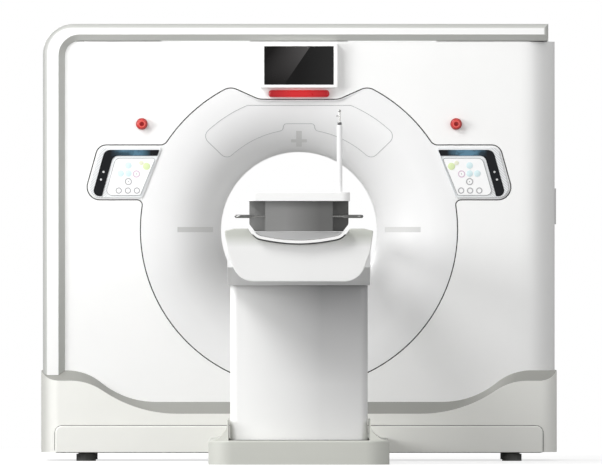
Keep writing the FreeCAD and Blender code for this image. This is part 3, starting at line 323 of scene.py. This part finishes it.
# Grey for the painted shade in the groove round the kick panel.
kick_groove_shade_grey = moulded("kick_groove_shade_grey", (120, 120, 117), 0.6)
paint(cover_white, "front_cover", "right_side_cover", "rear_cover", "bore_tunnels", "monitor_housing",
      "cradle_tray", "cradle")
paint(fascia_material(), "bore_fascia", "fascia_service_panel")
paint(wrap_material(), "roof_wrap_cover")
paint(base_cover_material(), "base_front_cover", "base_left_cover", "base_right_cover", "base_rear_cover")
paint(moulded("kick_warm", (238, 238, 233), 0.5), "base_kick_panel")
paint(moulded("table_base_warm", (200, 201, 194), 0.48), "table_base_cover")
paint(moulded("table_white", (244, 244, 244), 0.40), "table_head_cover")
paint(pedestal_material(), "pedestal_cover")
# Painted shade: the nose greys towards its top.
paint(two_tone_and_painted_shade("nose_white", (238, 238, 237), (198, 200, 193), "Object", "Z", 0.950, 1.000),
      "table_nose_cover")
paint(moulded("trim_grey", (206, 206, 205), 0.5), "right_side_grip", "cradle_support",
      "positioning_windows_side", "positioning_window_top", "scan_window_ring")
paint(screen_material(), "monitor_screen")
paint(lamp_material(), "status_lamp_lens")
paint(moulded("estop_collar", (176, 60, 56), 0.4), "estop_collars")
paint(moulded("estop_red", (206, 26, 24), 0.3, coat=0.5), "estop_left_button", "estop_right_button")
paint(bezel_material(), "panel_left_bezel", "panel_right_bezel")
paint(display_material(), "panel_displays")
paint(moulded("keypad_white", (250, 250, 250), 0.5), "panel_left_keypad", "panel_right_keypad")
paint(moulded("foot_grey", (132, 132, 130), 0.6), "levelling_feet")
paint(moulded("rubber_dark", (70, 70, 70), 0.7), "drive_belt")
paint(moulded("frame_paint", (110, 112, 116), 0.5), "base_frame", "cover_posts", "table_base_plate",
      "stator_frame")
paint(metal("machined", (200, 202, 204), 0.3), "main_bearing_race", "rotor_drum", "rotor_counterweight",
      "lift_column_outer", "lift_column_inner", "motor_pulley")
paint(metal("slip_brass", (206, 172, 96), 0.28), "slip_ring")
paint(moulded("unit_enamel", (150, 154, 160), 0.4), "xray_tube", "beam_collimator", "detector_arc",
      "high_voltage_tank", "drive_motor")
paint(moulded("fan_black", (44, 44, 46), 0.45), "fan_frame", "fan_rotor", "brush_block")
# Painted shade: the end block darkens towards its right side.
paint(two_tone_and_painted_shade("block_grey", (136, 136, 135), (98, 98, 97), "Object", "X", -0.06, 0.09, 0.42),
      "cradle_end_block")
paint(metal("handle_steel", (186, 186, 184), 0.16), "cradle_handles", "pole_rod")
paint(two_tone_and_painted_shade("pole_white", (240, 240, 240), (92, 92, 94), "Object", "Z", 1.4815, 1.4825, 0.35),
      "pole_tube")


# ---- Pieces: building blocks --------------------------------------------------
def piece(name, vertices, faces, material, body="gantry"):
    """Closed mesh that moves with a body, smooth except at its sharp edges."""
    data = bpy.data.meshes.new(name)
    data.from_pydata(vertices, [], faces)
    work = bmesh.new()
    work.from_mesh(data)
    bmesh.ops.remove_doubles(work, verts=work.verts, dist=1e-7)
    bmesh.ops.recalc_face_normals(work, faces=work.faces)
    work.to_mesh(data)
    work.free()
    data.shade_smooth()
    data.set_sharp_from_angle(angle=math.radians(40))
    data.materials.append(material)
    made = bpy.data.objects.new(name, data)
    scene.collection.objects.link(made)
    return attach(made, body)


def rim_loops(node, wanted):
    """Closed border lines, in order, of a CAD node's faces for which wanted(face) holds."""
    work = bmesh.new()
    work.from_mesh(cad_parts[node].data)
    bmesh.ops.remove_doubles(work, verts=work.verts, dist=1e-6)
    work.normal_update()
    chosen = {face for face in work.faces if wanted(face)}
    neighbours = {}
    for edge in work.edges:
        if sum(face in chosen for face in edge.link_faces) == 1:
            a, b = edge.verts
            neighbours.setdefault(a, []).append(b)
            neighbours.setdefault(b, []).append(a)
    loops, seen = [], set()
    for start in neighbours:
        if start in seen:
            continue
        line, spot = [], start
        while spot is not None:
            seen.add(spot)
            line.append(spot.co.copy())
            spot = next((n for n in neighbours[spot] if n not in seen), None)
        loops.append(line)
    work.free()
    return sorted(loops, key=len, reverse=True)


def resampled(line, count):
    """The closed line through evenly spaced points."""
    closed = line + line[:1]
    steps = [(b - a).length for a, b in zip(closed, closed[1:])]
    total, out, i, passed = sum(steps), [], 0, 0.0
    for k in range(count):
        goal = total * k / count
        while passed + steps[i] < goal:
            passed += steps[i]
            i += 1
        out.append(closed[i].lerp(closed[i + 1], (goal - passed) / max(steps[i], 1e-9)))
    return out


def inset(line, distance):
    """A closed line in an XZ plane, moved inwards."""
    turn = sum((a.x * b.z - b.x * a.z) for a, b in zip(line, line[1:] + line[:1]))
    sign = 1 if turn > 0 else -1
    out = []
    for i, spot in enumerate(line):
        along = (line[(i + 1) % len(line)] - line[i - 1]).normalized()
        out.append(spot + Vector((-along.z, 0, along.x)) * distance * sign)
    return out


def sweep(name, points, radius, material, body="gantry", closed=True, sides=8):
    """Round bead along a line of points."""
    count = len(points)
    vertices, faces = [], []
    side = None
    for i, spot in enumerate(points):
        before = points[i - 1] if closed or i else spot
        after = points[(i + 1) % count] if closed or i < count - 1 else spot
        along = (after - before).normalized()
        if side is None:
            side = along.orthogonal()
        side = (side - along * side.dot(along)).normalized()
        up = along.cross(side)
        for k in range(sides):
            turn = 2 * math.pi * k / sides
            vertices.append(spot + (side * math.cos(turn) + up * math.sin(turn)) * radius)
    for i in range(count if closed else count - 1):
        a, b = i * sides, (i + 1) % count * sides
        shift = 0
        if closed and i == count - 1:
            shift = min(range(sides), key=lambda n: (vertices[a] - vertices[b + n]).length)
        for k in range(sides):
            n = (k + 1) % sides
            faces.append((a + k, a + n, b + (n + shift) % sides, b + (k + shift) % sides))
    if not closed:
        faces += [tuple(range(sides)), tuple(range((count - 1) * sides, count * sides))]
    return piece(name, vertices, faces, material, body)


def turned(name, spots, profile, material, body="gantry", axis="Y", steps=28):
    """Copies of one turned form: a closed profile of (radius, height) about an axis."""
    vertices, faces = [], []
    for spot in spots:
        base = len(vertices)
        for k in range(steps):
            turn = 2 * math.pi * k / steps
            c, s = math.cos(turn), math.sin(turn)
            for radius, height in profile:
                offset = {"X": (height, radius * c, radius * s), "Y": (radius * c, height, radius * s),
                          "Z": (radius * c, radius * s, height)}[axis]
                vertices.append(Vector(spot) + Vector(offset))
        n = len(profile)
        for k in range(steps):
            a, b = base + k * n, base + (k + 1) % steps * n
            for i in range(n):
                j = (i + 1) % n
                if max(profile[i][0], profile[j][0]) > 1e-6:
                    faces.append((a + i, a + j, b + j, b + i))
    return piece(name, vertices, faces, material, body)


def disc(radius, height, soft):
    """Profile of a low round cap, its rim softened, standing out towards -height."""
    return [(0, 0), (radius, 0), (radius, -height + soft), (radius - soft * 0.3, -height + soft * 0.3),
            (radius - soft, -height), (0, -height)]


def hoop(outer, inner, height):
    """Profile of a flat ring with a rounded face."""
    middle = (outer + inner) / 2
    return [(inner, 0), (outer, 0), (outer, -height * 0.6), (middle, -height), (inner, -height * 0.6)]


# ---- Seams of the front -------------------------------------------------------
def make_seams():
    """Gaskets and seam lines of the gantry's front, set just behind the faces they run between, and a grey
    bead of painted shade in the groove round the kick panel.
    """
    def front(face):
        return face.normal.y < -0.99 and abs(face.calc_center_median().y - FACE_Y) < 1e-4

    least_width, clear_of_roof = 1.5, 0.2
    for line in rim_loops("front_cover", front):
        xs, zs = [p.x for p in line], [p.z for p in line]
        if max(xs) - min(xs) > least_width and max(zs) < ROOF_Z - clear_of_roof:
            hole = line
    set_back, half_gap, gasket_radius = 0.0026, 0.0025, 0.0029
    gasket = [p + Vector((0, set_back, 0)) for p in inset(resampled(hole, 420), half_gap)]
    sweep("fascia_seam_gasket", gasket, gasket_radius, seam_dark)
    panel = rim_loops("fascia_service_panel", lambda face: face.normal.y < -0.4)[0]
    sweep("service_panel_seam", resampled(panel, 260), 0.0013, seam_grey)
    # Painted shade: a grey bead in the groove round the kick panel.
    kick = rim_loops("base_kick_panel", lambda face: face.normal.y > 0.99)[0]
    outside, proud = 0.0012, 0.0006
    kick_edge = [p - Vector((0, proud, 0)) for p in inset(resampled(kick, 300), -outside)]
    sweep("kick_groove_shade_bead", kick_edge, 0.0022, kick_groove_shade_grey)
    top, corner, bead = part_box("front_cover")[1], 0.150, 0.0034
    notch_from, notch_turn, steps = 15.0, 28.0, 10
    turns = [math.radians(notch_from + notch_turn * k / steps) for k in range(steps + 1)]
    filler = [Vector((top.x - corner + (corner - bead) * math.sin(turn),
                      FACE_Y + corner - (corner - bead) * math.cos(turn), top.z - bead)) for turn in turns]
    sweep("corner_top_filler", filler, bead, cover_white, closed=False, sides=12)
    for side in ("left", "right"):
        keypad = rim_loops("panel_" + side + "_keypad", lambda face: face.normal.y < -0.99)[0]
        sweep("keypad_" + side + "_edge", resampled(keypad, 120), 0.0013, seam_grey)


# ---- Control panels -----------------------------------------------------------
KEYPAD_FACE_Y = FACE_Y - 0.0065
DISPLAY_FACE_Y = FACE_Y - 0.0060
KEY_HEIGHT = 0.0012
KEY_RADIUS, KEY_RING_INNER = 0.0160, 0.0115
LIGHT_KEY_RADIUS = 0.0100
LOW_KEY_RADIUS, LOW_KEY_INNER = 0.0140, 0.0095
MOVE_KEY, HOME_KEY = (-0.725, 1.280), (-0.761, 1.246)
START_KEY, LIGHT_KEY = (-0.680, 1.314), (-0.703, 1.329)
DIRECTION_KEYS = ((-0.761, 1.318), (-0.795, 1.282), (-0.761, 1.282))
LOW_KEYS = ((-0.804, 1.206), (-0.763, 1.206), (-0.723, 1.206))
DISPLAY_DOTS = ((-0.872, 1.289), (-0.883, 1.255))


def make_keys():
    """Membrane keys and display dots of both panels, the right one mirrored."""
    pale_cyan = moulded("key_cyan", (216, 237, 240), 0.5)
    lime = moulded("key_lime", (220, 235, 182), 0.5)
    cream = moulded("key_cream", (230, 232, 208), 0.5)
    ring_grey = moulded("key_ring_grey", (172, 172, 174), 0.5)
    ring_pink = moulded("key_ring_pink", (214, 190, 208), 0.5)
    dot_grey = moulded("key_dot", (150, 150, 152), 0.5)
    dot_white = moulded("display_dot", (208, 208, 208), 0.4)
    key_ring = hoop(KEY_RADIUS, KEY_RING_INNER, KEY_HEIGHT)
    for side, word in ((1, "left"), (-1, "right")):
        def at(*spots, depth=KEYPAD_FACE_Y):
            return [(side * x, depth, z) for x, z in spots]

        turned("keys_direction_" + word, at(*DIRECTION_KEYS), disc(KEY_RADIUS - 0.0015, KEY_HEIGHT, 0.0006),
               pale_cyan)
        turned("key_start_" + word, at(START_KEY), disc(KEY_RADIUS, KEY_HEIGHT, 0.0006), lime)
        turned("key_light_" + word, at(LIGHT_KEY), disc(LIGHT_KEY_RADIUS, KEY_HEIGHT * 0.8, 0.0005), cream)
        turned("key_move_ring_" + word, at(MOVE_KEY), key_ring, ring_pink)
        turned("key_home_ring_" + word, at(HOME_KEY), key_ring, ring_grey)
        turned("key_dots_" + word, at(MOVE_KEY, HOME_KEY), disc(0.0022, KEY_HEIGHT, 0.0004), dot_grey)
        turned("keys_low_rings_" + word, at(*LOW_KEYS), hoop(LOW_KEY_RADIUS, LOW_KEY_INNER, KEY_HEIGHT),
               ring_grey)
        dots = at(*DISPLAY_DOTS, depth=DISPLAY_FACE_Y)
        turned("display_dots_" + word, dots, disc(0.0048, 0.0006, 0.0003), dot_white)


def make_button_highlights():
    """Pale ring painted as a highlight, and a dark centre, on each stop button."""
    pale = moulded("estop_highlight_ring_pale", (222, 110, 100), 0.4)
    centre = moulded("estop_centre", (132, 6, 8), 0.3)
    for word in ("left", "right"):
        low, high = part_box("estop_" + word + "_button")
        spot = ((low.x + high.x) / 2, low.y, (low.z + high.z) / 2)
        radius, proud = (high.x - low.x) / 2, 0.0005
        # Painted highlight: a pale ring on the button's face.
        ring = hoop(radius * 0.74, radius * 0.56, proud)
        turned("estop_highlight_ring_" + word, [spot], ring, pale, "estop_" + word)
        turned("estop_centre_" + word, [spot], disc(radius * 0.42, proud, 0.0002), centre, "estop_" + word)


# ---- Cradle's mattress --------------------------------------------------------
def make_mattress():
    """Foam mattress: follows the cradle's trough, with sewn channels across its top."""
    low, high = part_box("cradle_pad")
    section = resampled(rim_loops("cradle_pad", lambda face: face.normal.y < -0.99)[0], 120)
    for _ in range(2):
        section = [(a + b * 2 + c) / 4 for a, b, c in zip(section[-1:] + section[:-1], section,
                                                          section[1:] + section[:1])]
    length, channels = high.y - low.y, 7
    pitch = length / channels
    end = [(0.0, 0.0036), (0.0008, 0.0019), (0.0024, 0.0008), (0.005, 0.0003), (0.016, 0.0002)]
    seam = [(-0.016, 0.0004), (-0.006, 0.0014), (0.0, 0.0040), (0.006, 0.0014), (0.016, 0.0004)]
    rows = end + [(length - y, depth) for y, depth in end]
    rows += [(k * pitch + y, depth) for k in range(1, channels) for y, depth in seam]
    rows += [((k + share) * pitch, 0.0003) for k in range(channels) for share in (0.3, 0.5, 0.7)]
    rows.sort()
    count = len(section)
    crown, top_band = 0.0015, 0.008
    vertices, faces = [], []
    for along, depth in rows:
        for spot in inset(section, depth):
            fall = crown * (spot.x / high.x) ** 2 if spot.z > high.z - top_band else 0.0
            vertices.append(Vector((spot.x, low.y + along, spot.z - fall)))
    for i in range(len(rows) - 1):
        for k in range(count):
            n = (k + 1) % count
            faces.append((i * count + k, i * count + n, (i + 1) * count + n, (i + 1) * count + k))
    last = (len(rows) - 1) * count
    faces += [tuple(range(count)), tuple(range(last, last + count))]
    pad_material = moulded("mattress_vinyl", (186, 186, 186), 0.55, vary=0.03, grain=320.0, depth=0.0001)
    pad = piece("cradle_mattress", vertices, faces, pad_material, "cradle")
    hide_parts("cradle_pad")


def make_handle_sleeves():
    """Thick sleeve that follows each bent handle, from its front leg round to its rear one."""
    low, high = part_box("cradle_handles")
    rod, bend, inner, steps = (high.z - low.z) / 2, 0.020, 0.196, 8
    reach, front, back = high.x - rod, low.y + rod, high.y - rod
    sleeve = 0.0072
    steel = metal("sleeve_steel", (150, 150, 149), 0.3)
    for side, word in ((-1, "left"), (1, "right")):
        route = [(inner, front), (reach - bend * 2, front)]
        for centre, start in ((front + bend, -90), (back - bend, 0)):
            for step in range(steps + 1):
                turn = math.radians(start + step * 90 / steps)
                route.append((reach - bend + bend * math.cos(turn), centre + bend * math.sin(turn)))
        route += [(reach - bend * 2, back), (inner, back)]
        points = [Vector((side * x, y, (low.z + high.z) / 2)) for x, y in route]
        sweep("handle_sleeve_" + word, points, sleeve, steel, "cradle", closed=False, sides=16)


# ---- Sides, rear and roof -----------------------------------------------------
def make_fasteners():
    """Quarter-turn fasteners on the doors and side covers, and plugs over the lifting points."""
    trim = moulded("fastener_grey", (176, 177, 178), 0.35)
    slot_dark = moulded("fastener_slot", (70, 70, 72), 0.5)
    head = [(r, -h) for r, h in disc(0.014, 0.0012, 0.0006)]
    slot = [(r, -h) for r, h in disc(0.0045, 0.0015, 0.0003)]
    door_outer, door_inner = 1.04, 0.06
    rear = [(x, REAR_Y, z) for x in (-door_outer, -door_inner, door_inner, door_outer) for z in (0.36, 1.80)]
    rear += [(x, REAR_Y, 1.05) for x in (-door_outer, door_outer)]
    turned("rear_fasteners", rear, head, trim)
    turned("rear_fastener_slots", rear, slot, slot_dark)
    for side, word in ((-1, "left"), (1, "right")):
        plate = [(side * SIDE_X, y, z) for y in (FACE_Y + 0.30, REAR_Y - 0.10) for z in (0.52, 1.76)]
        turned("side_fasteners_" + word, plate, [(r, side * h) for r, h in head], trim, axis="X")
        turned("side_fastener_slots_" + word, plate, [(r, side * h) for r, h in slot], slot_dark, axis="X")
    roof = [(x, y, ROOF_Z) for x in (-0.80, 0.80) for y in (FACE_Y + 0.22, REAR_Y - 0.18)]
    turned("lifting_plugs", roof, [(r, -h) for r, h in disc(0.030, 0.0015, 0.0008)], trim, axis="Z")
    bell_edge, seam_y, seam_radius = 0.71, REAR_Y - 0.0004, 0.0012
    lower = [Vector((0, seam_y, z)) for z in (0.303, BORE_Z - bell_edge)]
    upper = [Vector((0, seam_y, z)) for z in (BORE_Z + bell_edge, ROOF_Z - 0.008)]
    sweep("rear_door_seam_low", lower, seam_radius, seam_dark, closed=False)
    sweep("rear_door_seam_top", upper, seam_radius, seam_dark, closed=False)


make_seams()
make_keys()
make_button_highlights()
make_handle_sleeves()
make_mattress()
make_fasteners()


# ---- Stage, light and camera -------------------------------------------------
def make_stage():
    """Round pale floor under the machine and its table."""
    data = bpy.data.meshes.new("floor")
    radius, corners, middle_y = 7.0, 96, FACE_Y - 0.5
    turns = [2 * math.pi * k / corners for k in range(corners)]
    rim = [(radius * math.cos(turn), middle_y + radius * math.sin(turn), 0) for turn in turns]
    data.from_pydata(rim, [], [tuple(range(corners))])
    floor = bpy.data.objects.new("floor", data)
    scene.collection.objects.link(floor)
    pale = Material("floor_pale")
    pale.surface((150, 150, 150), 0.9)
    path = pale.add("ShaderNodeLightPath")
    pale.link(pale.span(path.outputs["Is Camera Ray"], 0.0, 1.0, 0.0, 0.72),
              pale.shader.inputs["Emission Strength"])
    pale.set(Emission_Color=linear((255, 255, 255)))
    data.materials.append(pale.material)


def area_light(name, place, aim, size, power):
    """Soft round light at a place, turned to its aim."""
    data = bpy.data.lights.new(name, "AREA")
    data.shape = "DISK"
    data.size = size
    data.energy = power
    light = bpy.data.objects.new(name, data)
    light.location = place
    light.rotation_euler = (Vector(aim) - Vector(place)).to_track_quat("-Z", "Y").to_euler()
    scene.collection.objects.link(light)


def make_light():
    """White surroundings, a high key from the left, a low one beside it and two weak fills."""
    world = bpy.data.worlds.new("studio")
    scene.world = world
    world.use_nodes = True
    background = world.node_tree.nodes["Background"]
    background.inputs["Color"].default_value = (1, 1, 1, 1)
    path = world.node_tree.nodes.new("ShaderNodeLightPath")
    level = world.node_tree.nodes.new("ShaderNodeMapRange")
    level.inputs["To Min"].default_value = 0.44
    level.inputs["To Max"].default_value = 1.0
    world.node_tree.links.new(path.outputs["Is Camera Ray"], level.inputs["Value"])
    world.node_tree.links.new(level.outputs["Result"], background.inputs["Strength"])
    middle = (0.1, FACE_Y, 1.1)
    area_light("key", (-6.2, FACE_Y - 7.4, 8.4), middle, 4.5, 640)
    area_light("low_key", (-7.5, FACE_Y - 4.5, 2.6), (-0.4, FACE_Y, 0.6), 3.5, 380)
    area_light("rear_fill", (-4.0, FACE_Y + 8.5, 4.5), (0.0, REAR_Y, 1.0), 4.0, 330)
    area_light("fill", (5.5, FACE_Y - 8.0, 2.6), middle, 6.0, 190)


def make_camera():
    """Long lens in front of the machine, its frame as wide as frame_width at the front cover."""
    data = bpy.data.cameras.new("camera")
    data.type = "PERSP"
    data.sensor_width = 36.0
    data.lens = 1250.0
    frame_width, off_centre = 2.685, 0.009
    distance = frame_width * data.lens / data.sensor_width
    data.clip_start = 10.0
    data.clip_end = 200.0
    camera = bpy.data.objects.new("camera", data)
    aim_height, height = 1.010, 0.80
    camera.location = (off_centre, FACE_Y - distance, height)
    camera.rotation_euler = (math.radians(90) + math.atan((aim_height - height) / distance), 0, 0)
    scene.collection.objects.link(camera)
    scene.camera = camera


make_stage()
make_light()
make_camera()
